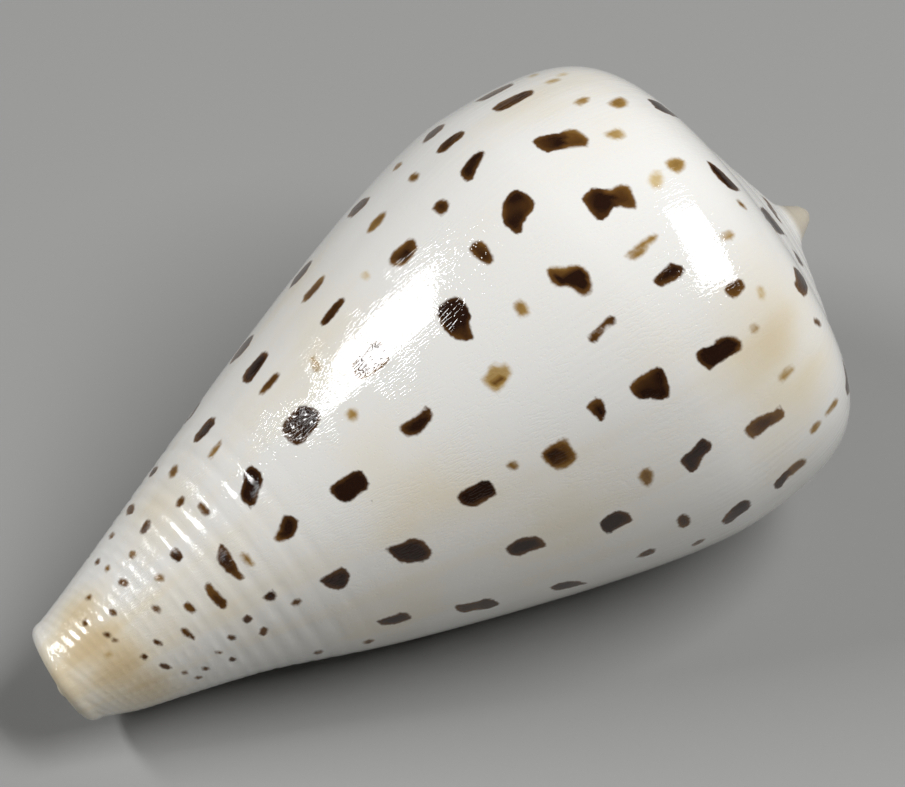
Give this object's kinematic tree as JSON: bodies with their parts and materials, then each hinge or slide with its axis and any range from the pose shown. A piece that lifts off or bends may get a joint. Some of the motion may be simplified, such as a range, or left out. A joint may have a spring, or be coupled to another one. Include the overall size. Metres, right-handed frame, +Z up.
{
  "type": "cone shell",
  "caption": "Glossy conical sea shell with a low spire, rounded shoulder, long narrow aperture and ribbed narrow end, lying on its aperture side.",
  "frame": {"origin": "centre of the bounding box in X and Y, on the ground the shell lies on", "axes": "+X from the narrow end towards the spire, +Z up; the aperture faces down"},
  "size_m": [0.0756, 0.0452, 0.0414],
  "materials": {
    "shell": "glossy white natural shell with brown spots"
  },
  "bodies": {
    "root": {"shell": "shell"}
  },
  "joints": []
}
